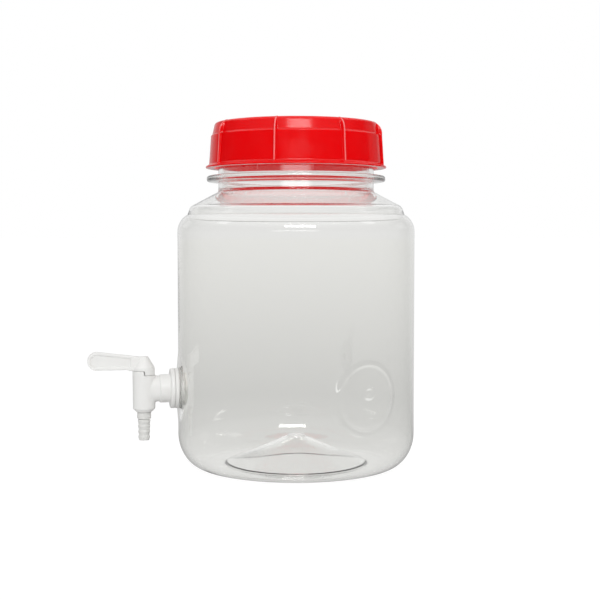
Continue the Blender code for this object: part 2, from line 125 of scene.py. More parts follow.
# writes a mesh in metres, with its faces turned outwards by the sign of the volume they enclose
def writeMesh(name, points, faces, material):
    flat = points.reshape(-1, 3) / 1000
    volume = 0.0
    for block in faces:
        corners = flat[block]
        for k in range(1, block.shape[1] - 1):
            volume += np.einsum("ij,ij->", corners[:, 0], np.cross(corners[:, k], corners[:, k + 1]))
    if volume < 0:
        faces = [block[:, ::-1] for block in faces]
    used, index = np.unique(np.concatenate([block.ravel() for block in faces]), return_inverse=True)
    mesh = bpy.data.meshes.new(name)
    rows, start = [], 0
    for block in faces:
        rows += index[start:start + block.size].reshape(block.shape).tolist()
        start += block.size
    mesh.from_pydata(flat[used].tolist(), [], rows)
    mesh.shade_smooth()
    mesh.update()
    made = bpy.data.objects.new(name, mesh)
    bpy.context.scene.collection.objects.link(made)
    mesh.materials.append(material)
    return made


# quads between neighbouring points of a grid whose point (i, j) is number i times columns plus j
def gridFaces(rows, columns, closedRows=False):
    i, j = np.meshgrid(np.arange(rows if closedRows else rows - 1), np.arange(columns), indexing="ij")
    i, j = i.ravel(), j.ravel()
    i2, j2 = (i + 1) % rows, (j + 1) % columns
    return np.stack([i * columns + j, i * columns + j2, i2 * columns + j2, i2 * columns + j], axis=1)


# where the first and last row are single points, each quad that touches one becomes a triangle on one vertex
def closeEnds(faces, rows, columns):
    start = (rows - 1) * columns
    first = (faces[:, 0] < columns) & (faces[:, 1] < columns)
    last = (faces[:, 2] >= start) & (faces[:, 3] >= start)
    low = np.stack([np.zeros(first.sum(), int), faces[first, 2], faces[first, 3]], axis=1)
    high = np.stack([faces[last, 0], faces[last, 1], np.full(last.sum(), start)], axis=1)
    return [faces[~(first | last)], low, high]


# outline through (radius, height, corner radius) points: each corner becomes a quadratic curve of about that
# radius, and each straight stretch gets a point close to both ends so that shading stays flat along it
def softOutline(corners, arcSteps=5, hold=0.35):
    pts = [np.array(c[:2], float) for c in corners]
    out = [pts[0]]
    for k in range(1, len(pts)):
        here, bend = pts[k], corners[k][2] if len(corners[k]) > 2 else 0
        back = pts[k - 1] - here
        if k == len(pts) - 1 or bend == 0:
            out.append(here)
            continue
        ahead = pts[k + 1] - here
        backLength, aheadLength = np.linalg.norm(back), np.linalg.norm(ahead)
        cosine = np.dot(back, ahead) / backLength / aheadLength
        half = math.acos(max(-1, min(1, cosine))) / 2
        reach = min(bend / max(math.tan(half), 1e-6), 0.45 * backLength, 0.45 * aheadLength)
        first = here + back / backLength * reach
        last = here + ahead / aheadLength * reach
        t = np.linspace(0, 1, arcSteps + 1)[:, None]
        out += list(first * (1 - t) ** 2 + here * 2 * t * (1 - t) + last * t ** 2)
    held = [out[0]]
    for a, b in zip(out, out[1:]):
        length = np.linalg.norm(b - a)
        if length > 6 * hold:
            held += [a + (b - a) * hold / length, b - (b - a) * hold / length]
        held.append(b)
    return np.array(held)


# arc of an ellipse about a middle point, by angle in degrees
def arcOutline(middle, radii, start, end, steps):
    a = np.radians(np.linspace(start, end, steps + 1))
    return np.stack([middle[0] + radii[0] * np.cos(a), middle[1] + radii[1] * np.sin(a)], axis=1)


# straight line up or down at one radius, with evenly spaced points
def straightOutline(radius, heights):
    return np.stack([np.full(len(heights), radius), heights], axis=1)


# each point of an outline moved inwards, square to the outline, by its own depth
def movedIn(outline, depth):
    step = np.gradient(outline, axis=0)
    normal = np.stack([-step[:, 1], step[:, 0]], axis=1) / np.linalg.norm(step, axis=1)[:, None]
    return outline + normal * np.reshape(depth, (-1, 1))


# an eased step: 0 up to 0, 1 from 1 on, and level at both ends
def eased(share):
    share = np.clip(share, 0, 1)
    return share * share * (3 - 2 * share)


# radius and height carried round the Z axis: x is radius times cosine, y radius times sine
def turned(outline, angles):
    r, z = outline[:, :1], outline[:, 1:]
    return np.stack([r * np.cos(angles), r * np.sin(angles), z + 0 * angles], axis=2)


# evenly spaced angles round one turn, in radians
def roundAngles(count):
    return np.arange(count) * 2 * math.pi / count


# what was made about Z is moved to the jar's axis
def onJarAxis(points):
    return points + np.array([jarAxis[0], jarAxis[1], 0])


# what was made about Z is moved to the axis that the plug turns on
def onTapAxis(points):
    return points + np.array([tapAxis[0], tapAxis[1], 0])


# what was made about Z is laid along the tap: height becomes distance from the jar's axis, towards the tap
def onTapLine(points):
    x, y, z = points[..., 0], points[..., 1], points[..., 2]
    return np.stack([jarAxis[0] - z, jarAxis[1] + y, jarSizes["portHeight"] + x], axis=-1)


# a turned outline as a closed piece: either a loop (closed) or a line from axis to axis
def turnedPiece(name, outline, material, place, columns=96, closed=False):
    rows = len(outline)
    faces = gridFaces(rows, columns, closed)
    blocks = [faces] if closed else closeEnds(faces, rows, columns)
    return writeMesh(name, place(turned(outline, roundAngles(columns))), blocks, material)


# finish a piece: it rides on its body and stands for its node
def dress(piece, body, nodeName):
    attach(piece, body)
    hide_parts(nodeName)
    return piece


# clear PET, blown: two glassy skins with slow waves where the parison stretched
petLook = {"tint": "#FBFBFA", "ior": 1.57, "roughness": 0.025, "wave": 0.10, "waveSize": 38, "waveHeight": 0.35,
           "shadowClear": 0.93, "shadowTint": "#F0F2EE"}


def clearPet():
    made, tree, shader, sink, place = newMaterial("clearBlownPet", {
        "Base Color": hexColour(petLook["tint"]), "IOR": petLook["ior"], "Roughness": petLook["roughness"],
        "Transmission Weight": 1.0})
    slow = lumps(tree, place, petLook["waveSize"], 1.0, 0.4, (1, 1, petLook["waveHeight"]))
    stackBumps(tree, shader, [(slow, petLook["wave"])])
    # lamps reach what is inside the jar and the floor below it
    clear = addNode(tree, "BsdfTransparent", {"Color": hexColour(petLook["shadowTint"])}, 0)
    lamp = addNode(tree, "LightPath", out="Is Shadow Ray")
    share = reckon(tree, "MULTIPLY", lamp, petLook["shadowClear"])
    mix = addNode(tree, "MixShader", {0: share, 1: shader.outputs[0], 2: clear}, 0)
    tree.links.new(mix, sink.inputs["Surface"])
    return made


# the lid's sizes; its material finds the ribs by them
lidSizes = {
    "foot": 206.84, "top": 238.34, "skirtFoot": 60.7, "skirtTop": 59.4,
    "rimOverhang": 2.3, "rimThickness": 1.0, "rimRoot": 2.6,
    "ledgeLow": 229.1, "ledgeHigh": 229.9, "ledgeDepth": 0.9, "bandLean": 12.5, "edgeFillet": 2.2,
    "roof": 1.9, "bore": 57.2, "landRadius": 54.8, "landFoot": 231.34, "chamfer": 1.4, "topGroove": 46.0,
    "threadFoot": 214.94, "threadTurns": 1.25,
    "ribCount": 8, "ribFirst": 20.7, "ribWidth": 2.8, "ribCrest": 0.7, "ribProud": 1.5, "ribRise": 0.25,
    "ribEnd": 49.6, "ribRounding": 8.0,
}

# red polypropylene, injection moulded: semi-gloss with slow sink marks and a faint tool texture
redLook = {
    "colour": "#E60006", "deep": "#DC0004", "ior": 1.49, "shine": 0.40,
    "roughness": 0.17, "smoother": 0.03, "rougher": 0.04, "patchSize": 9,
    "scatter": 0.45, "scatterReach": 3.0, "scatterShares": (1.0, 0.03, 0.03),
    "sink": 0.08, "sinkSize": 26, "grain": 0.003, "grainSize": 0.5,
    # painted highlight along the ribs' crests: its colour, width and share
    "crest": "#F08A8A", "crestWidth": 0.9, "crestShare": 0.75,
    # painted glow, standing in for light let through the moulding: its strength and tint; the part that glows:
    # within this radius, which narrows by the slope above the bend, and under this height
    "inside": 0.42, "paintedGlowTint": "#F01418", "insideRadius": 57.4, "insideBend": 231.5, "insideSlope": 0.45,
    "insideTop": 236.6,
}


def redPolypropylene():
    look = redLook
    # the emission colour is the painted glow on the lid's inside
    made, tree, shader, sink, place = newMaterial("redMouldedPolypropylene", {
        "IOR": look["ior"], "Specular IOR Level": look["shine"], "Subsurface Weight": look["scatter"],
        "Subsurface Scale": look["scatterReach"] / 1000, "Subsurface Radius": look["scatterShares"],
        "Emission Color": hexColour(look["paintedGlowTint"])})
    slow = lumps(tree, place, look["sinkSize"], 1.5, 0.45)
    grain = lumps(tree, place, look["grainSize"])
    stackBumps(tree, shader, [(slow, look["sink"]), (grain, look["grain"])])
    patchyRoughness(tree, shader, lumps(tree, place, look["patchSize"], 3.0), look)
    plain = addNode(tree, "Mix", {"Factor": slow, "A": hexColour(look["deep"]), "B": hexColour(look["colour"])},
                    "Result", data_type="RGBA")
    # where a point is from the lid's axis, for the two masks below
    offset = addNode(tree, "VectorMath", {0: place, 1: (-jarAxis[0] / 1000, -jarAxis[1] / 1000, 0)}, 0)
    flat = addNode(tree, "VectorMath", {0: offset, 1: (1, 1, 0)}, 0, operation="MULTIPLY")
    away = addNode(tree, "VectorMath", {0: flat}, "Value", operation="LENGTH")
    x, y, z = addNode(tree, "SeparateXYZ", {0: offset}).outputs
    # painted glow: the inside, within the skirt and under the roof, gives off a little red light, standing in for
    # light that the moulding lets through
    bend, radius, rise = look["insideBend"] / 1000, look["insideRadius"] / 1000, 0.01
    limit = ramp(tree, z, bend, bend + rise, radius, radius - rise * look["insideSlope"])
    within = reckon(tree, "LESS_THAN", away, limit)
    below = reckon(tree, "LESS_THAN", z, look["insideTop"] / 1000)
    both = reckon(tree, "MULTIPLY", within, below)
    glow = reckon(tree, "MULTIPLY", both, look["inside"])
    tree.links.new(glow, shader.inputs["Emission Strength"])
    # painted highlight: the ribs' crests are painted pale, by distance across the nearest rib, above the rim and off
    # the flat top
    half = math.pi / lidSizes["ribCount"]
    turn = reckon(tree, "ARCTAN2", y, x)
    turn = reckon(tree, "SUBTRACT", turn, math.radians(lidSizes["ribFirst"]))
    turn = reckon(tree, "WRAP", turn, half, -half)
    across = reckon(tree, "MULTIPLY", turn, lidSizes["skirtFoot"])
    across = reckon(tree, "ABSOLUTE", across)
    edge = look["crestWidth"] / 2
    crest = ramp(tree, across, edge * 0.6, edge * 1.4, look["crestShare"], 0.0)
    ribFoot = (lidSizes["foot"] + lidSizes["rimRoot"]) / 1000
    for measure, least in ((z, ribFoot), (away, lidSizes["ribEnd"] / 1000)):
        there = reckon(tree, "GREATER_THAN", measure, least)
        crest = reckon(tree, "MULTIPLY", crest, there)
    withCrestHighlight = addNode(tree, "Mix", {"Factor": crest, "A": plain, "B": hexColour(look["crest"])}, "Result",
                     data_type="RGBA")
    tree.links.new(withCrestHighlight, shader.inputs["Base Color"])
    return made


# white polypropylene, injection moulded: satin, with a fine spark-eroded grain
whiteLook = {"colour": "#E9E9E7", "ior": 1.49, "roughness": 0.40, "smoother": 0.05, "rougher": 0.06,
             "sink": 0.05, "sinkSize": 7, "grain": 0.006, "grainSize": 0.35}


def whitePolypropylene():
    look = whiteLook
    made, tree, shader, sink, place = newMaterial("whiteMouldedPolypropylene", {
        "Base Color": hexColour(look["colour"]), "IOR": look["ior"]})
    slow = lumps(tree, place, look["sinkSize"], 1.0)
    grain = lumps(tree, place, look["grainSize"])
    patchyRoughness(tree, shader, slow, look)
    stackBumps(tree, shader, [(slow, look["sink"]), (grain, look["grain"])])
    return made


# natural polyethylene, injection moulded: milky, so light goes a little way in; the nut's denser grade is opaque
naturalLook = {"colour": "#E6E6E3", "ior": 1.51, "roughness": 0.38, "grain": 0.006, "grainSize": 0.4, "clear": 0.10}
# silicone rubber, moulded: soft white and dull
rubberLook = {"colour": "#EAEAE8", "ior": 1.41, "roughness": 0.55, "grain": 0.008, "grainSize": 0.6}


# one colour with a fine grain
def grainedSkin(name, look, clear=0.0):
    made, tree, shader, sink, place = newMaterial(name, {
        "Base Color": hexColour(look["colour"]), "IOR": look["ior"], "Roughness": look["roughness"],
        "Transmission Weight": clear})
    stackBumps(tree, shader, [(lumps(tree, place, look["grainSize"]), look["grain"])])
    return made


petSkin = clearPet()
redSkin = redPolypropylene()
whiteSkin = whitePolypropylene()
naturalSkin = grainedSkin("naturalMouldedPolyethylene", naturalLook, naturalLook["clear"])
nutSkin = grainedSkin("denseMouldedPolyethylene", naturalLook)
rubberSkin = grainedSkin("whiteSiliconeRubber", rubberLook)
print("materials made")


# the jar: one closed skin, outside up to the lip and back down inside
jarSizes = {
    "bodyRadius": 82.6, "footRadius": 82.0, "wall": 1.3, "straightTop": 162.7,
    # base: rounded corner, foot ring, and the cone pushed up to the gate, where the wall is gateShare times as thick
    "baseWall": 1.3, "cornerDepth": 19.0, "cornerHeight": 24.0, "footWidth": 14.5, "footStep": 1.1,
    "pushUp": 19.0, "gateRadius": 5.6, "gateRise": 1.0, "gateShare": 2.0,
    # shoulder: rounded corner, a leaning band and the slope up to the neck
    "topCornerRadius": 13.5, "topCornerSweep": 61.0, "bandHeight": 5.45, "bandDepth": 1.8, "bandFootRound": 1.2,
    "bandTopRound": 5.0, "shoulderWall": 1.4, "neckFootRound": 2.6, "throatRadius": 5.0, "throatWidth": 6.0,
    "wallBlend": 3.0,
    # neck with its support ring and thread
    "neckRadius": 54.3, "neckWall": 2.9, "neckFoot": 190.34, "neckTop": 234.34, "lipRound": 0.9,
    "ringRise": 6.7, "ringWidth": 8.0, "ringThickness": 4.4, "ringRound": 1.7, "ringRootRound": 0.9,
    "threadPitch": 6.0, "threadDepth": 2.3, "threadWidth": 3.0, "threadFlank": 0.8, "threadFade": 30.0,
    "threadFoot": 217.84, "threadTurns": 1.75, "threadStart": 200.0,
    # ports: a flat face, its eased edge and a bead round it; the spare one is marked with a ring and a dot
    "portHeight": 55.3, "portFace": 82.6, "portFaceRadius": 14.2, "portOuterRadius": 26.5, "portWall": 1.5,
    "portBead": 0.40, "tapBead": 0.08, "innerBead": 0.08, "beadRadius": 21.8, "beadWidth": 4.6, "holeRadius": 7.84,
    "markProud": 0.50, "markRadius": 3.5, "markWidth": 0.75, "markSide": 1.2, "markUp": 3.2,
    "dotShare": 1.3, "dotRadius": 1.1, "dotUp": 1.0,
    # how far above its middle, and how far in from the wall, a port or its hole is looked for
    "portRoom": 30.0, "holeReach": 8.0,
    # the grid: close rows and columns where the ports are, in mm and degrees
    "portRowReach": 27.3, "portColumnReach": 27.0, "closeRow": 0.84, "closeColumn": 0.74, "wideColumn": 2.3,
}


# columns round the jar, close together where the two ports are
def jarAngles():
    s = jarSizes
    reach = math.degrees(math.asin(s["portColumnReach"] / s["footRadius"]))
    spans = [(tapTurn - reach, tapTurn + reach, s["closeColumn"]),
             (tapTurn + reach, spareTurn - reach, s["wideColumn"]),
             (spareTurn - reach, spareTurn + reach, s["closeColumn"]),
             (spareTurn + reach, 360 + tapTurn - reach, s["wideColumn"])]
    parts = [np.linspace(a, b, max(2, round((b - a) / step)), endpoint=False) for a, b, step in spans]
    return np.radians(np.concatenate(parts))


# half outline of the jar's body from the middle of the base to the top of its upper corner, drawn in by the
# wall: cone, flat foot ring, a quarter ellipse, the straight wall, and an arc
def jarWall(inset, baseInset):
    s = jarSizes
    footOuter = s["footRadius"] - s["cornerDepth"]
    footInner = footOuter - s["footWidth"]
    top = s["pushUp"] + baseInset * s["gateShare"]
    base = softOutline([
        (0, top), (s["gateRadius"] - 0.5, top, 0.4), (s["gateRadius"] + 0.3, top - s["gateRise"], 0.5),
        (footInner, s["footStep"] + baseInset, 0.8 + inset * 3),
        (footInner + s["footStep"], baseInset, 0.6 + inset), (footOuter, baseInset)])
    corner = arcOutline((footOuter, s["cornerHeight"]), (s["cornerDepth"] - inset, s["cornerHeight"] - baseInset),
                        -90, 0, 22)
    lowPort, highPort = s["portHeight"] - s["portRowReach"], s["portHeight"] + s["portRowReach"]
    heights = np.concatenate([np.linspace(s["cornerHeight"], lowPort, 4)[1:-1],
                              np.arange(lowPort, highPort, s["closeRow"]),
                              np.linspace(highPort, s["straightTop"], 9)])
    share = (heights - s["cornerHeight"]) / (s["straightTop"] - s["cornerHeight"])
    radii = s["footRadius"] - inset + (s["bodyRadius"] - s["footRadius"]) * share
    upper = arcOutline((s["bodyRadius"] - s["topCornerRadius"], s["straightTop"]),
                       (s["topCornerRadius"] - inset,) * 2, 0, s["topCornerSweep"], 16)
    return np.concatenate([base, corner[1:], np.stack([radii, heights], axis=1), upper[1:]])


# outer outline, then the inner one backwards, with the number of points that belong to the outside
def jarOutline():
    s = jarSizes
    outer = jarWall(0, 0)
    bandFoot = outer[-1]
    bandTop = (bandFoot[0] - s["bandDepth"], bandFoot[1] + s["bandHeight"])
    radius, foot, top = s["neckRadius"], s["neckFoot"], s["neckTop"]
    bore = radius - s["neckWall"]
    shoulder = softOutline([tuple(outer[-2]), (*bandFoot, s["bandFootRound"]), (*bandTop, s["bandTopRound"]),
                            (radius, foot, s["neckFootRound"]), (radius, foot + 3)], 8)
    ringLow, edge, root = foot + s["ringRise"], radius + s["ringWidth"], s["ringRootRound"]
    ringHigh = ringLow + s["ringThickness"]
    neck = softOutline([(radius, foot + 3), (radius, ringLow, root), (edge, ringLow + 0.3, s["ringRound"]),
                        (edge, ringHigh - 0.1, s["ringRound"]), (radius, ringHigh, root),
                        (radius, s["threadFoot"] - 2)])
    thread = straightOutline(radius, np.arange(s["threadFoot"] - 1.6, top - 3.4, 0.5))
    lip = softOutline([(radius, top - 3.0), (radius, top, s["lipRound"]),
                       (bore, top, s["lipRound"]), (bore, top - 4)])
    # the shoulder's inner face runs level with its outer one, one wall further in, and turns up into the bore
    sloping = shoulder[1:][shoulder[1:, 0] > radius + s["throatWidth"]]
    share = np.clip((sloping[:, 1] - bandFoot[1]) / s["wallBlend"], 0, 1)
    depth = s["wall"] + (s["shoulderWall"] - s["wall"]) * share
    within = movedIn(sloping, depth)
    down = within[-1] - within[-2]
    boreFoot = within[-1, 1] + down[1] / down[0] * (bore - within[-1, 0])
    throat = softOutline([tuple(within[-1]), (bore, boreFoot, s["throatRadius"]), (bore, top - 4.5)], 8)
    outside = np.concatenate([outer[:-1], shoulder[1:], neck[1:], thread, lip])
    inside = np.concatenate([jarWall(s["wall"], s["baseWall"])[:-1], within, throat[1:]])[::-1]
    return np.concatenate([outside, inside]), len(outside)


# level unit vector: the cosine and sine of a turn in degrees
def flatDirection(turn):
    return np.array([math.cos(math.radians(turn)), math.sin(math.radians(turn)), 0])


# pulls the wall onto a flat round face: the pull is 1 within the face's radius and eases to 0 at the outer one;
# a low rounded bead, a squared cosine across its width, runs round the face
def portField(points, turn, face, beadHeight):
    s = jarSizes
    direction, side = flatDirection(turn), flatDirection(turn + 90)
    ahead, across = points @ direction, points @ side
    away = np.hypot(across, points[..., 2] - s["portHeight"])
    pull = eased((s["portOuterRadius"] - away) / (s["portOuterRadius"] - s["portFaceRadius"])) * (ahead > 0)
    along = np.clip((away - s["beadRadius"]) / s["beadWidth"], -0.5, 0.5)
    bead = beadHeight * np.cos(math.pi * along) ** 2 * (ahead > 0)
    return points + (pull * (face - ahead) + bead)[..., None] * direction, across, ahead


# a low ring and a dot, both of bell-shaped section, show where a second tap would be drilled
def markField(points, across, ahead):
    s = jarSizes
    up = points[..., 2] - s["portHeight"]
    ring = np.exp(-((np.hypot(across - s["markSide"], up - s["markUp"]) - s["markRadius"]) / s["markWidth"]) ** 2)
    dot = s["dotShare"] * np.exp(-(np.hypot(across, up - s["dotUp"]) / s["dotRadius"]) ** 2)
    return points + (s["markProud"] * (ring + dot) * (ahead > 0))[..., None] * flatDirection(spareTurn)


# moves a wall outwards by depth (inwards where depth is negative) along a helix of the jar's pitch, with sloped
# flanks and faded ends
def threadField(points, angles, foot, turns, depth):
    s = jarSizes
    start = (np.degrees(angles)[None, :] - s["threadStart"]) % 360
    height = points[..., 2]
    rise = np.zeros_like(height)
    for lap in range(int(turns) + 1):
        turn = start + 360 * lap
        ends = np.clip(np.minimum(turn, 360 * turns - turn) / s["threadFade"], 0, 1)
        middle = foot + s["threadPitch"] * turn / 360
        flank = eased((s["threadWidth"] / 2 - np.abs(height - middle)) / s["threadFlank"])
        rise = np.maximum(rise, np.where(turn <= 360 * turns, flank * ends, 0))
    radius = np.hypot(points[..., 0], points[..., 1])
    scale = (radius + depth * rise) / radius
    return points * np.stack([scale, scale, np.ones_like(scale)], axis=-1)


# the turned outline, with both skins drawn onto the two ports and the thread raised on the neck
def jarPoints(outline, outerCount, angles):
    s = jarSizes
    points = turned(outline, angles)
    outer = np.arange(len(outline)) < outerCount
    wall = (outline[:, 1] < s["portHeight"] + s["portRoom"]) & (outline[:, 0] > s["footRadius"] - s["cornerDepth"])
    for turn, outerBead in ((tapTurn, s["tapBead"]), (spareTurn, s["portBead"])):
        skins = ((outer & wall, s["portFace"], outerBead),
                 (~outer & wall, s["portFace"] - s["portWall"], s["innerBead"]))
        for rows, face, bead in skins:
            points[rows], across, ahead = portField(points[rows], turn, face, bead)
            if turn == spareTurn and face == s["portFace"]:
                points[rows] = markField(points[rows], across, ahead)
    rows = outer & (outline[:, 1] > s["threadFoot"] - 2) & (outline[:, 0] > s["neckRadius"] - 0.01)
    points[rows] = threadField(points[rows], angles, s["threadFoot"], s["threadTurns"], s["threadDepth"])
    return points


# grid rows follow the outline and columns go round; the tap's hole is cut by leaving out the cells inside it on
# both skins, moving their rim onto the hole's circle, and joining the two rims
def makeJar():
    s = jarSizes
    angles = jarAngles()
    outline, outerCount = jarOutline()
    rows, columns = len(outline), len(angles)
    points = jarPoints(outline, outerCount, angles)
    away = np.hypot(points[..., 1], points[..., 2] - s["portHeight"])
    near = (-points[..., 0] > s["footRadius"] - s["holeReach"]) & (away < s["holeRadius"])
    cells = near[:-1] & near[1:]
    cells = cells & np.roll(cells, -1, axis=1)
    # a rim point is near the hole, and not all of its four cells are left out
    above = np.vstack([cells, np.zeros((1, columns), bool)])
    below = np.vstack([np.zeros((1, columns), bool), cells])
    rim = near & ~(above & below & np.roll(above, 1, axis=1) & np.roll(below, 1, axis=1))
    scale = np.where(rim, s["holeRadius"] / np.maximum(away, 1e-6), 1.0)
    points[..., 1] *= scale
    points[..., 2] = s["portHeight"] + (points[..., 2] - s["portHeight"]) * scale
    blocks = closeEnds(gridFaces(rows, columns)[~cells.ravel()], rows, columns)
    blocks.append(holeWall(cells, outerCount, columns))
    return writeMesh("jarShell", onJarAxis(points), blocks, petSkin)


# quads from each rim edge of the outer skin to the same edge of the inner skin, whose rows run the other way, so
# that the numbers of two paired rows have one sum
def holeWall(cells, outerCount, columns):
    hole = cells.copy()
    hole[outerCount - 1:] = False
    innerRows = np.nonzero(cells[outerCount:].any(axis=1))[0] + outerCount
    rowSum = np.nonzero(hole.any(axis=1))[0][0] + innerRows[-1] + 1
    quads = []
    # for each side of a cell: the step from the neighbour beyond it, and the two corners of that side in order
    for step, start, end in (((1, 0), (0, 1), (0, 0)), ((-1, 0), (1, 0), (1, 1)),
                             ((0, 1), (0, 0), (1, 0)), ((0, -1), (1, 1), (0, 1))):
        row, column = np.nonzero(hole & ~np.roll(hole, step, axis=(0, 1)))
        outer = [(row + i) * columns + (column + j) % columns for i, j in (start, end)]
        inner = [(rowSum - row - i) * columns + (column + j) % columns for i, j in (end, start)]
        quads.append(np.stack(outer + inner, axis=1))
    return np.concatenate(quads)


jar = dress(makeJar(), "jar", "jar")
print("jar made", len(jar.data.polygons))


# columns round the lid: close together across each rib
def lidAngles():
    s = lidSizes
    pitch = 360 / s["ribCount"]
    half = math.degrees(s["ribWidth"] / 2 / s["skirtFoot"]) * 1.25
    one = np.concatenate([np.linspace(-half, half, 19), np.linspace(half, pitch - half, 17)[1:-1]])
    return np.radians(np.concatenate([s["ribFirst"] + k * pitch + one for k in range(s["ribCount"])]))


# outline of a panel above the skirt: a band that leans in from the ledge, and the fillet over to the flat top
def lidShoulder():
    s = lidSizes
    lean = math.radians(s["bandLean"])
    bandFoot = s["skirtTop"] - s["ledgeDepth"]
    middleHigh = s["top"] - s["edgeFillet"]
    bandTop = middleHigh + s["edgeFillet"] * math.sin(lean)
    bandEnd = bandFoot - (bandTop - s["ledgeHigh"]) * math.tan(lean)
    middle = (bandEnd - s["edgeFillet"] * math.cos(lean), middleHigh)
    share = np.linspace(0, 1, 13)[1:-1, None]
    band = np.array([[bandFoot, s["ledgeHigh"]]]) * (1 - share) + np.array([[bandEnd, bandTop]]) * share
    return np.concatenate([band, arcOutline(middle, (s["edgeFillet"],) * 2, s["bandLean"], 90, 12)])


# the lid's outline from its inner foot out, over the top and back down inside, with the number of outer points
def lidOutline():
    s = lidSizes
    foot, top, groove = s["foot"], s["top"], s["topGroove"]
    rimEdge = s["skirtFoot"] + s["rimOverhang"]
    outside = softOutline([
        (s["bore"], foot + 0.4), (s["bore"] + 0.4, foot, 0.2), (rimEdge, foot, 0.4),
        (rimEdge, foot + s["rimThickness"], 0.4), (s["skirtFoot"], foot + s["rimRoot"], 1.2),
        (s["skirtTop"], s["ledgeLow"], 0.25), (s["skirtTop"] - s["ledgeDepth"], s["ledgeHigh"])], hold=0.3)
    shoulder = lidShoulder()
    roof = softOutline([tuple(shoulder[-1]), (s["ribEnd"], top), (groove + 0.6, top, 0.3),
                        (groove, top - 0.3, 0.3), (groove - 0.6, top, 0.3), (0, top)], hold=0.4)
    under, land = top - s["roof"], s["landRadius"]
    inside = softOutline([(0, under), (land - s["chamfer"], under, 0.4), (land, under - s["chamfer"], 0.4),
                          (land, s["landFoot"] + 0.6, 0.4), (s["bore"], s["landFoot"], 0.4),
                          (s["bore"], s["landFoot"] - 3)])
    thread = straightOutline(s["bore"], np.arange(s["landFoot"] - 3.5, s["threadFoot"] - 3, -0.5))
    outline = np.concatenate([outside, shoulder, roof[1:], inside, thread])
    return outline, len(outside) + len(shoulder) + len(roof) - 1


# a turned outline; on its outside a rounded rib of even width is added at eight angles: in radius on the skirt
# and round the shoulder, where it keeps one large rounding, and in height on the flat top
def makeLid():
    s = lidSizes
    angles = lidAngles()
    outline, outerCount = lidOutline()
    points = turned(outline, angles)
    radius, height = outline[:, 0], outline[:, 1]
    isOuter = np.arange(len(outline)) < outerCount
    # the rib's own outline: proud of the skirt, then a quarter circle of the large rounding
    rise = np.clip(height - (s["top"] - s["ribRounding"]), 0, s["ribRounding"])
    ribRadius = s["skirtTop"] + s["ribProud"] - s["ribRounding"] + np.sqrt(s["ribRounding"] ** 2 - rise ** 2)
    skirtShare = np.clip((s["ledgeLow"] - height) / (s["ledgeLow"] - s["foot"]), 0, 1)
    ribRadius = ribRadius + (s["skirtFoot"] - s["skirtTop"]) * skirtShare
    above = np.clip((height - s["foot"] - s["rimThickness"]) / 1.4, 0, 1) * isOuter
    proud = np.clip(ribRadius - radius, 0, 3) * above * (radius > s["ribEnd"] + 1)
    onTop = np.clip((radius - s["ribEnd"]) / 2, 0, 1) * np.clip((height - s["top"] + 2) / 2, 0, 1) * isOuter
    # across the rib: 1 on its crest, eased to 0 at its foot
    pitch = 2 * math.pi / s["ribCount"]
    offset = (angles - math.radians(s["ribFirst"]) + pitch / 2) % pitch - pitch / 2
    arc = np.abs(offset) * s["skirtFoot"]
    across = eased((s["ribWidth"] / 2 - arc) / (s["ribWidth"] / 2 - s["ribCrest"] / 2))
    grown = 1 + proud[:, None] * across[None, :] / np.maximum(radius, 1)[:, None]
    points[..., 0] *= grown
    points[..., 1] *= grown
    points[..., 2] += (s["ribRise"] * onTop)[:, None] * across[None, :]
    rows = ~isOuter & (height < s["landFoot"] - 2) & (height > s["threadFoot"] - 4)
    points[rows] = threadField(points[rows], angles, s["threadFoot"], s["threadTurns"], -jarSizes["threadDepth"])
    return writeMesh("lidShell", onJarAxis(points), lidFaces(len(outline), len(angles), outerCount), redSkin)


# a loop from the inner foot, out, over the top's middle point, and back inside to the inner foot
def lidFaces(rows, columns, outerCount):
    faces = gridFaces(rows, columns, closedRows=True)
    row = faces[:, 0] // columns
    top, gap, under = (row == outerCount + k for k in (-2, -1, 0))
    middleTop, middleUnder = (outerCount - 1) * columns, outerCount * columns
    a = np.stack([faces[top, 0], faces[top, 1], np.full(top.sum(), middleTop)], axis=1)
    b = np.stack([np.full(under.sum(), middleUnder), faces[under, 2], faces[under, 3]], axis=1)
    return [faces[~(top | under | gap)], a, b]


lid = dress(makeLid(), "lid", "lid")
print("lid made", len(lid.data.polygons))


# the gasket, washers and nut: turned rings with rounded edges
sealSizes = {
    "gasketInner": 50.5, "gasketOuter": 53.5, "gasketFoot": 234.64, "gasketThickness": 1.5, "gasketEdge": 0.3,
    "washerInner": 8.3, "washerEdge": 0.5, "outerRadius": 13.65, "outerThickness": 2.54, "outerBack": 82.57,
    "innerRadius": 12.0, "innerThickness": 1.93, "innerBack": 79.2,
    "nutFlats": 21.0, "nutLow": 75.1, "nutThickness": 4.0, "nutSharp": 40, "nutBoreEdge": 0.4,
    # the nut's chamfer: its height, where the flats are plain, and the radii of face and corners as shares
    "nutChamfer": 0.9, "nutHold": 1.2, "nutFaceShare": 0.97, "nutCornerShare": 1.12,
}


# a rounded rectangle as a loop that starts in the middle of its lower side
def ringOutline(inner, outer, low, thickness, edge):
    middle, high = (inner + outer) / 2, low + thickness
    return softOutline([(middle, low), (outer, low, edge), (outer, high, edge), (inner, high, edge),
                        (inner, low, edge), (middle, low)], 4, 0.2)[:-1]


# the gasket lies about the jar's axis, the two washers about the stem
def makeSeals():
    s = sealSizes
    outline = ringOutline(s["gasketInner"], s["gasketOuter"], s["gasketFoot"], s["gasketThickness"], s["gasketEdge"])
    gasket = turnedPiece("lidGasket", outline, rubberSkin, onJarAxis, 160, closed=True)
    dress(gasket, "lid_seal", "lid_gasket")
    for side in ("outer", "inner"):
        outline = ringOutline(s["washerInner"], s[side + "Radius"], s[side + "Back"], s[side + "Thickness"],
                              s["washerEdge"])
        washer = turnedPiece(side + "Washer", outline, rubberSkin, onTapLine, closed=True)
        dress(washer, "jar", "tap_" + side + "_washer")


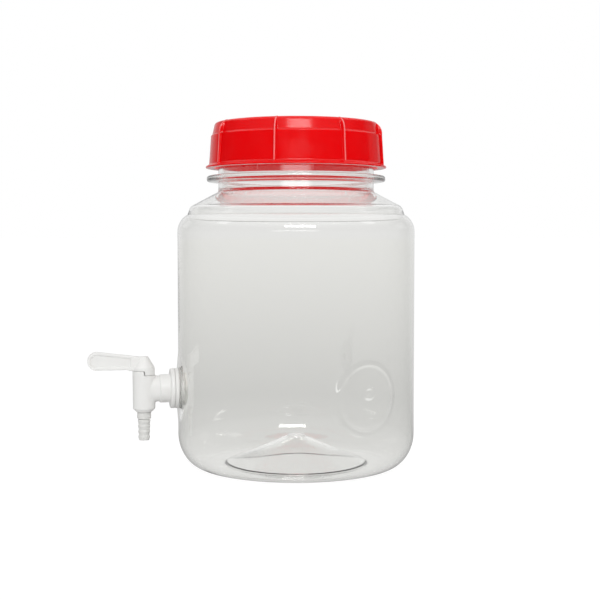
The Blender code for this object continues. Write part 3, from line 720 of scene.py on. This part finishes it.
# rings from the bore outwards; an outer ring's radius is that of a hexagon, cut off at the corners, and is drawn
# in to a circle at each face as a turned chamfer does
def makeNut():
    s = sealSizes
    angles = roundAngles(96)
    flat = s["nutFlats"] / 2
    hexagon = flat / np.cos((angles + math.pi / 6) % (math.pi / 3) - math.pi / 6)
    hexagon = np.minimum(hexagon, flat * s["nutCornerShare"])
    low, high, bore = s["nutLow"], s["nutLow"] + s["nutThickness"], s["washerInner"]
    edge, face, chamfer, hold = s["nutBoreEdge"], flat * s["nutFaceShare"], s["nutChamfer"], s["nutHold"]
    rings = ((bore, low + edge), (bore + edge, low), (face, low), (hexagon, low + chamfer),
             (hexagon, low + hold), (hexagon, high - hold), (hexagon, high - chamfer), (face, high),
             (bore + edge, high), (bore, high - edge))
    points = np.array([np.stack([reach * np.cos(angles), reach * np.sin(angles), height + 0 * angles], axis=1)
                       for reach, height in rings])
    nut = writeMesh("lockNut", onTapLine(points), [gridFaces(len(rings), 96, closedRows=True)], nutSkin)
    nut.data.set_sharp_from_angle(angle=math.radians(s["nutSharp"]))
    dress(nut, "jar", "tap_lock_nut")


makeSeals()
makeNut()
print("seals and nut made")


# the tap's body; distances along the arm are from the jar's axis, heights are from the ground
tapSizes = {
    "stemEnd": 74.5, "stemRadius": 7.9, "flangeBack": 85.2, "flangeFront": 88.1, "flangeRadius": 13.65,
    "collarFront": 95.3, "collarRadius": 9.65,
    "armRadius": 8.85, "armWaist": 6.8, "armGusset": 1.8, "armBury": 4.7, "reach": 105.7,
    "barrelRadius": 7.9, "barrelDraft": 0.3, "barrelTop": 67.6, "noseTop": 41.9, "barrelFoot": 39.6,
    "noseRadius": 5.2, "boreRadius": 4.6, "waterRadius": 2.7, "waterEnd": 104.2,
    "notchFloor": 64.7, "notchStart": -94.0, "notchEnd": 152.0, "notchInner": 4.0,
    "overshoot": 3.0, "voxel": 0.3, "passes": 4,
}


# a tool is joined to a body or cut from it when the mesh is baked
def addBoolean(body, tool, operation):
    step = body.modifiers.new(tool.name, "BOOLEAN")
    step.operation, step.solver, step.object = operation, "EXACT", tool


# a new mesh of an object as its modifiers leave it
def bakedMesh(body, material):
    bpy.context.view_layer.update()
    mesh = bpy.data.meshes.new_from_object(body.evaluated_get(bpy.context.evaluated_depsgraph_get()))
    mesh.materials.clear()
    mesh.materials.append(material)
    return mesh


# joins the raw shapes, then melts their edges: voxels first, then a few smoothing passes
def meltTogether(name, body, steps, voxelMm, passes):
    for tool, operation in steps:
        addBoolean(body, tool, operation)
    made = bpy.data.objects.new(name, bakedMesh(body, whiteSkin))
    bpy.context.scene.collection.objects.link(made)
    remesh = made.modifiers.new("melt", "REMESH")
    remesh.mode, remesh.voxel_size, remesh.use_smooth_shade = "VOXEL", voxelMm / 1000, True
    smooth = made.modifiers.new("ease", "SMOOTH")
    smooth.factor, smooth.iterations = 0.5, passes
    mesh = bakedMesh(made, whiteSkin)
    made.modifiers.clear()
    made.data = mesh
    mesh.shade_smooth()
    for old in [body] + [tool for tool, _ in steps]:
        bpy.data.objects.remove(old)
    return made


# a closed body through rings of points, with the first and last ring closed by a middle point
def ringLoft(name, rings, place):
    rings = np.array(rings)
    ends = [np.broadcast_to(rings[k].mean(axis=0), rings[0].shape) for k in (0, -1)]
    points = np.concatenate([ends[0][None], rings, ends[1][None]])
    faces = closeEnds(gridFaces(len(points), points.shape[1]), len(points), points.shape[1])
    return writeMesh(name, place(points), faces, whiteSkin)


# a plain round rod between two heights
def rod(name, radius, low, high, place, columns=96):
    outline = np.array([(0, low), (radius, low), (radius, high), (0, high)])
    return turnedPiece(name, outline, whiteSkin, place, columns)


# a block between two radii, two heights and two angles, as square rings carried round the axis
def sectorBody(name, inner, outer, start, end, low, high):
    turn = np.radians(np.linspace(start, end, 49))[:, None]
    radius, height = np.array([inner, outer, outer, inner]), np.array([low, low, high, high])
    rings = np.stack([radius * np.cos(turn), radius * np.sin(turn), height + 0 * turn], axis=2)
    return ringLoft(name, rings, onTapAxis)


# an upright oval across the arm at this distance from the jar's axis, deeper below its middle by extra
def armRing(distance, halfWidth, extra):
    a = roundAngles(64)
    depth = tapSizes["armRadius"] + np.where(np.sin(a) < 0, extra, 0)
    return np.stack([depth * np.sin(a), halfWidth * np.cos(a), distance + 0 * a], axis=1)


# turned stem and barrel joined by the arm; notch, water way and bore are cut out
def makeTapBody():
    s = tapSizes
    stem = turnedPiece("stemRaw", softOutline([
        (0, s["stemEnd"]), (s["stemRadius"], s["stemEnd"], 0.5), (s["stemRadius"], s["flangeBack"], 0.2),
        (s["flangeRadius"], s["flangeBack"], 0.5), (s["flangeRadius"], s["flangeFront"], 0.9),
        (s["collarRadius"], s["flangeFront"], 0.4), (s["collarRadius"], s["collarFront"], 0.7),
        (0, s["collarFront"])]), whiteSkin, onTapLine)
    # the arm narrows by an eased step from the collar to the barrel, and its gusset deepens by a square
    waist, wide = s["reach"] - s["armBury"], s["armRadius"] - 0.4
    rings = [armRing(s["flangeFront"], wide, 0)]
    for t in np.linspace(0, 1, 9):
        rings.append(armRing(s["collarFront"] + (waist - s["collarFront"]) * t,
                             wide + (s["armWaist"] - wide) * eased(t), s["armGusset"] * t * t))
    rings.append(armRing(s["reach"], s["armWaist"], s["armGusset"]))
    arm = ringLoft("armRaw", rings, onTapLine)
    barrel = turnedPiece("barrelRaw", softOutline([
        (0, s["barrelFoot"]), (s["noseRadius"], s["barrelFoot"], 0.4),
        (s["barrelRadius"] - s["barrelDraft"], s["noseTop"], 0.8), (s["barrelRadius"], s["barrelTop"], 0.4),
        (0, s["barrelTop"])]), whiteSkin, onTapAxis)
    over = s["overshoot"]
    notch = sectorBody("notchRaw", s["notchInner"], s["barrelRadius"] + over, s["notchStart"], s["notchEnd"],
                       s["notchFloor"], s["barrelTop"] + over)
    bore = rod("boreRaw", s["boreRadius"], s["barrelFoot"] - over, s["barrelTop"] + over, onTapAxis)
    way = rod("wayRaw", s["waterRadius"], s["stemEnd"] - over, s["waterEnd"], onTapLine, 48)
    made = meltTogether("tapBody", stem, [(arm, "UNION"), (barrel, "UNION"), (notch, "DIFFERENCE"),
                                          (way, "DIFFERENCE"), (bore, "DIFFERENCE")], s["voxel"], s["passes"])
    dress(made, "jar", "tap_body")


# the plug, its hose barb and its square shank; heights are from the ground
plugSizes = {
    "radius": 4.3, "top": 67.1, "boreRadius": 2.4, "boreTop": 59.3,
    "collarTop": 39.3, "collarRadius": 4.7, "collarFoot": 35.1,
    "barbTop": 3.9, "barbEnd": 3.4, "foot": 20.4, "barbs": 4, "ridge": 0.42, "ridgeFall": 1.3, "barbNeck": 0.35,
    "shankSide": 4.4, "shankHeight": 5.5, "shankPower": 8, "shankBury": 2.0, "shankEdge": 0.4, "shankTaper": 0.86,
}


# a turned plug; the barb is a falling cone with a saw-tooth ridge repeated down it, and the shank above is a
# superellipse of a high power, so almost a square
def makePlug():
    s = plugSizes
    pitch = (s["collarFoot"] - s["foot"]) / s["barbs"]
    corners = [(0, s["top"]), (s["radius"], s["top"], 0.3), (s["radius"], s["collarTop"] + 0.3, 0.2),
               (s["radius"], s["collarTop"], 0.1), (s["collarRadius"], s["collarTop"], 0.3),
               (s["collarRadius"], s["collarFoot"], 0.4)]
    for k in range(s["barbs"]):
        radius = s["barbTop"] + (s["barbEnd"] - s["barbTop"]) * k / s["barbs"]
        top = s["collarFoot"] - k * pitch
        corners += [(radius - (0 if k else s["barbNeck"]), top - 0.05, 0.1),
                    (radius + s["ridge"], top - s["ridgeFall"], 0.25)]
    corners += [(s["barbEnd"], s["foot"], 0.3), (s["boreRadius"], s["foot"], 0.3),
                (s["boreRadius"], s["boreTop"]), (0, s["boreTop"])]
    plug = turnedPiece("tapPlug", softOutline(corners, 4, 0.12), whiteSkin, onTapAxis)
    a = roundAngles(64)
    power, end = s["shankPower"], s["top"] + s["shankHeight"]
    square = s["shankSide"] / 2 / (np.abs(np.cos(a)) ** power + np.abs(np.sin(a)) ** power) ** (1 / power)
    rings = [np.stack([side * square * np.cos(a), side * square * np.sin(a), height + 0 * a], axis=1)
             for height, side in ((s["top"] - s["shankBury"], 1.0), (end - s["shankEdge"], 1.0),
                                  (end, s["shankTaper"]))]
    shank = ringLoft("shankRaw", rings, onTapAxis)
    addBoolean(plug, shank, "UNION")
    mesh = bakedMesh(plug, naturalSkin)
    plug.modifiers.clear()
    plug.data = mesh
    bpy.data.objects.remove(shank)
    dress(plug, "valve", "tap_plug")


# the lever; lengths along the blade are from the axis that it turns on
leverSizes = {
    "foot": 67.7, "hubRadius": 7.2, "hubTop": 2.6, "hubHeight": 9.8, "hubRim": 2.1,
    "reach": 38.3, "thickness": 5.0, "rise": 0.7, "rootHeight": 8.5, "tipHeight": 12.5, "border": 1.9, "recess": 0.7,
    "footReach": 10.7, "footThickness": 4.5, "footHeight": 1.4,
    "skirtInner": 5.0, "skirtDepth": 2.85, "skirtStart": -90.0, "skirtEnd": 58.0, "skirtBury": 1.0,
    "socketSide": 5.0, "socketTop": 72.9, "socketFoot": 64.7, "voxel": 0.26, "passes": 4,
}


# side view of the blade: a straight underside, a round tip, and a top edge that falls towards the hub
def bladeOutline(border, steps=24):
    s = leverSizes
    foot = s["foot"] + s["rise"] + border
    tip = s["tipHeight"] / 2 - border
    middle = s["reach"] - s["tipHeight"] / 2
    slope = (s["tipHeight"] - s["rootHeight"]) / middle
    a = np.linspace(-math.pi / 2, math.pi / 2 + math.atan(slope), steps)
    root = s["hubRadius"] + border if border else 0.0
    top = foot + s["rootHeight"] + slope * root - 2 * border
    x = np.concatenate([[root], middle + tip * np.cos(a), [root]])
    z = np.concatenate([[foot], foot + tip + tip * np.sin(a), [top]])
    return np.stack([-x, z], axis=1)


# a flat outline in XZ given a thickness along Y
def slab(name, outline, low, high):
    rings = [np.stack([outline[:, 0], np.full(len(outline), y), outline[:, 1]], axis=1) for y in (low, high)]
    return ringLoft(name, rings, onTapAxis)


# a slab whose outline is a rectangle
def boxSlab(name, left, right, low, high, half):
    return slab(name, np.array([(left, low), (right, low), (right, high), (left, high)]), -half, half)


# turned hub with blade, foot and stop skirt; side recesses and square socket are cut out
def makeLever():
    s = leverSizes
    foot, half, socket = s["foot"], s["thickness"] / 2, s["socketSide"] / 2
    hub = turnedPiece("hubRaw", softOutline([
        (0, foot), (s["hubRadius"], foot, 0.3), (s["hubRadius"], foot + s["hubRim"], 0.5),
        (s["hubTop"], foot + s["hubHeight"], 0.5), (0, foot + s["hubHeight"])]), whiteSkin, onTapAxis)
    steps = [(slab("bladeRaw", bladeOutline(0), -half, half), "UNION"),
             (boxSlab("footRaw", 0, -s["footReach"], foot, foot + s["footHeight"], s["footThickness"] / 2), "UNION"),
             (sectorBody("skirtRaw", s["skirtInner"], s["hubRadius"], s["skirtStart"], s["skirtEnd"],
                         foot - s["skirtDepth"], foot + s["skirtBury"]), "UNION")]
    for side in (-1, 1):
        low, high = sorted((side * (half - s["recess"]), side * 2 * half))
        steps.append((slab(f"recessRaw{side}", bladeOutline(s["border"]), low, high), "DIFFERENCE"))
    steps.append((boxSlab("socketRaw", -socket, socket, s["socketFoot"], s["socketTop"], socket), "DIFFERENCE"))
    made = meltTogether("tapLever", hub, steps, s["voxel"], s["passes"])
    dress(made, "valve", "tap_lever")


makeTapBody()
makePlug()
makeLever()
print("tap made")


# where the photographer stood: distance and height in mm, lens in mm, shifts as parts of the picture
cameraLook = {"distance": 843.5, "height": 159.3, "lens": 72.3, "sensor": 36,
              "shiftX": 4 / 600, "shiftY": -63.5 / 600}

# stage: white floor and backdrop as the camera sees them; softer levels for rays that left a surface
stageLook = {
    "floor": "#F2F2F2", "floorReach": 90000.0, "floorDrop": 0.2, "cameraShare": 0.86, "cameraGlow": 1.08,
    # levels met by rays that passed through the clear wall: floor near the jar and below it, horizon, high up
    "throughNear": 0.66, "throughUnder": 0.78, "throughLow": 0.88, "throughHigh": 1.00, "throughSide": 0.97,
    "throughTint": "#FFFFFD",
    # slopes of the camera's view down to the floor at which it has the level near the jar and that below it
    "nearSlope": 0.13, "underSlope": 0.20,
    # levels met by mirrored rays: the floor, in front, behind and overhead, and a strip low in front
    "mirrorFloor": 0.25, "mirrorFront": 0.03, "mirrorBack": 0.66, "mirrorTop": 1.10, "mirrorStrip": 4.5,
    # how squarely behind the jar the bright back starts and is full, and where the floor fades out, in metres
    "backStart": 0.6, "backFull": 0.95, "fadeStart": 1.0, "fadeEnd": 9.0,
    "ambientLow": 0.50, "ambientTop": 0.85,
}


# a wide square just below the jar, with a level of its own for each kind of ray
def makeFloor():
    s = stageLook
    corners = np.array([[-1, -1, 0], [1, -1, 0], [1, 1, 0], [-1, 1, 0]], float)
    points = s["floorReach"] * corners - (0, 0, s["floorDrop"])
    mesh = bpy.data.meshes.new("floor")
    mesh.from_pydata((points / 1000).tolist(), [], [(0, 1, 2, 3)])
    floor = bpy.data.objects.new("floor", mesh)
    bpy.context.scene.collection.objects.link(floor)
    made = bpy.data.materials.new("stageFloor")
    made.use_nodes = True
    tree = made.node_tree
    tree.nodes.clear()
    path = addNode(tree, "LightPath").outputs
    place = addNode(tree, "TexCoord", out="Object")
    # seen through the jar the floor darkens towards it, by the slope at which the camera would look down on it
    distance = addNode(tree, "VectorMath", {0: place}, "Value", operation="LENGTH")
    far = reckon(tree, "ADD", distance, cameraLook["distance"] / 1000)
    slope = reckon(tree, "DIVIDE", cameraLook["height"] / 1000, far)
    level = ramp(tree, slope, 0.0, s["nearSlope"], s["throughLow"], s["throughNear"])
    under = ramp(tree, slope, s["nearSlope"], s["underSlope"], 0.0, s["throughUnder"] - s["throughNear"])
    through = reckon(tree, "ADD", level, under)
    # mirrored rays meet a dim floor that fades far away to the world's level, and a bright one behind the jar
    offset = addNode(tree, "VectorMath", {0: place, 1: (-jarAxis[0] / 1000, -jarAxis[1] / 1000, 0)}, 0)
    reach = addNode(tree, "VectorMath", {0: offset}, "Value", operation="LENGTH")
    beyond = addNode(tree, "VectorMath", {0: offset, 1: flatDirection(viewTurn + 180)}, "Value",
                     operation="DOT_PRODUCT")
    behind = reckon(tree, "DIVIDE", beyond, reach)
    faded = ramp(tree, reach, s["fadeStart"], s["fadeEnd"], s["mirrorFloor"], s["mirrorFront"])
    mirrored = ramp(tree, behind, s["backStart"], s["backFull"], faded, s["mirrorBack"], "SMOOTHSTEP")
    # plain white with shadows; a glow for the camera, and the two levels for the other rays
    mix = addNode(tree, "BsdfDiffuse", {"Color": hexColour(s["floor"])}, 0)
    toCamera = reckon(tree, "MULTIPLY", path["Is Camera Ray"], s["cameraShare"])
    for share, tint, strength in ((toCamera, "#FFFFFF", s["cameraGlow"]),
                                  (path["Is Glossy Ray"], "#FFFFFF", mirrored),
                                  (path["Is Transmission Ray"], s["throughTint"], through)):
        glow = addNode(tree, "Emission", {"Color": hexColour(tint), "Strength": strength}, 0)
        mix = addNode(tree, "MixShader", {0: share, 1: mix, 2: glow}, 0)
    addNode(tree, "OutputMaterial", {"Surface": mix})
    mesh.materials.append(made)


# white to the camera; other rays meet a level that follows their direction: height, and how far behind
def makeWorld():
    s = stageLook
    world = bpy.data.worlds.new("studio")
    world.use_nodes = True
    tree = world.node_tree
    tree.nodes.clear()
    path = addNode(tree, "LightPath").outputs
    way = addNode(tree, "TexCoord", out="Generated")
    up = addNode(tree, "SeparateXYZ", {0: way}, "Z")
    behind = addNode(tree, "VectorMath", {0: way, 1: flatDirection(viewTurn + 180)}, "Value",
                     operation="DOT_PRODUCT")
    # each level goes smoothly from one value to another as its measure goes from start to end
    levels = {}
    for name, measure, start, end, low, high in (
            ("throughUp", up, 0.0, 0.3, s["throughLow"], s["throughHigh"]),
            ("throughBack", behind, -0.3, 0.6, s["throughSide"], 1.0),
            ("back", behind, s["backStart"], s["backFull"], s["mirrorFront"], s["mirrorBack"]),
            ("overhead", up, 0.3, 0.75, 0.0, s["mirrorTop"]),
            ("stripFoot", up, 0.03, 0.045, 0.0, 1.0),
            ("stripHead", up, 0.08, 0.10, 1.0, 0.0),
            ("stripFront", behind, -0.97, -0.90, s["mirrorStrip"], 0.0),
            ("ambient", up, -0.2, 0.8, s["ambientLow"], s["ambientTop"])):
        levels[name] = ramp(tree, measure, start, end, low, high, "SMOOTHSTEP")
    through = reckon(tree, "MULTIPLY", levels["throughUp"], levels["throughBack"])
    strip = reckon(tree, "MULTIPLY", levels["stripFoot"], levels["stripHead"])
    strip = reckon(tree, "MULTIPLY", strip, levels["stripFront"])
    mirrored = reckon(tree, "ADD", levels["back"], levels["overhead"])
    mirrored = reckon(tree, "ADD", mirrored, strip)
    level = levels["ambient"]
    for ray, seen in (("Is Glossy Ray", mirrored), ("Is Transmission Ray", through), ("Is Camera Ray", 1.0)):
        level = addNode(tree, "Mix", {0: path[ray], 2: level, 3: seen}, 0)
    back = addNode(tree, "Background", {"Color": (1, 1, 1, 1), "Strength": level}, 0)
    addNode(tree, "OutputWorld", {"Surface": back})
    bpy.context.scene.world = world


# softboxes: turn from the camera, middle elevation, width and height, in degrees as the jar sees them; brightness
lampLook = {
    "frontBox": (4.5, 29, 27, 10, 12.0),
    "rightBox": (121, 16, 19, 14, 0.2),
    "leftBox": (-134, 16, 13, 14, 0.2),
    "rightTop": (84, 38, 12, 12, 0.9),
    "leftTop": (-84, 38, 12, 12, 0.9),
}
lampDistance = 1500.0
lampTarget = 110.0


# each softbox is a square-on area lamp; its watts follow from brightness: pi times area times radiance
def makeLamps():
    for name, (turn, rise, width, height, radiance) in lampLook.items():
        across, upright = (2 * lampDistance / 1000 * math.tan(math.radians(v / 2)) for v in (width, height))
        data = bpy.data.lights.new(name, "AREA")
        data.shape, data.size, data.size_y = "RECTANGLE", across, upright
        data.energy = radiance * math.pi * across * upright
        lamp = bpy.data.objects.new(name, data)
        bpy.context.scene.collection.objects.link(lamp)
        lift = math.radians(rise)
        direction = flatDirection(viewTurn + turn) * math.cos(lift) + (0, 0, math.sin(lift))
        lamp.location = (np.array([jarAxis[0], jarAxis[1], lampTarget]) + lampDistance * direction) / 1000
        lamp.rotation_euler = (math.pi / 2 - lift, 0, math.radians(viewTurn + turn + 90))


# a level camera at its distance along the view's turn; the shifts place the picture
def makeCamera():
    data = bpy.data.cameras.new("camera")
    data.lens, data.sensor_width = cameraLook["lens"], cameraLook["sensor"]
    data.shift_x, data.shift_y = cameraLook["shiftX"], cameraLook["shiftY"]
    camera = bpy.data.objects.new("camera", data)
    bpy.context.scene.collection.objects.link(camera)
    above = np.array([jarAxis[0], jarAxis[1], cameraLook["height"]])
    camera.location = (above + cameraLook["distance"] * flatDirection(viewTurn)) / 1000
    camera.rotation_euler = (math.pi / 2, 0, math.radians(viewTurn + 90))
    bpy.context.scene.camera = camera


makeFloor()
makeWorld()
makeLamps()
makeCamera()
bpy.context.scene.view_settings.view_transform = "Standard"
# light is piped a long way inside the clear wall
cycles = bpy.context.scene.cycles
cycles.max_bounces = cycles.transmission_bounces = cycles.glossy_bounces = 32
print("stage, lamps and camera made")
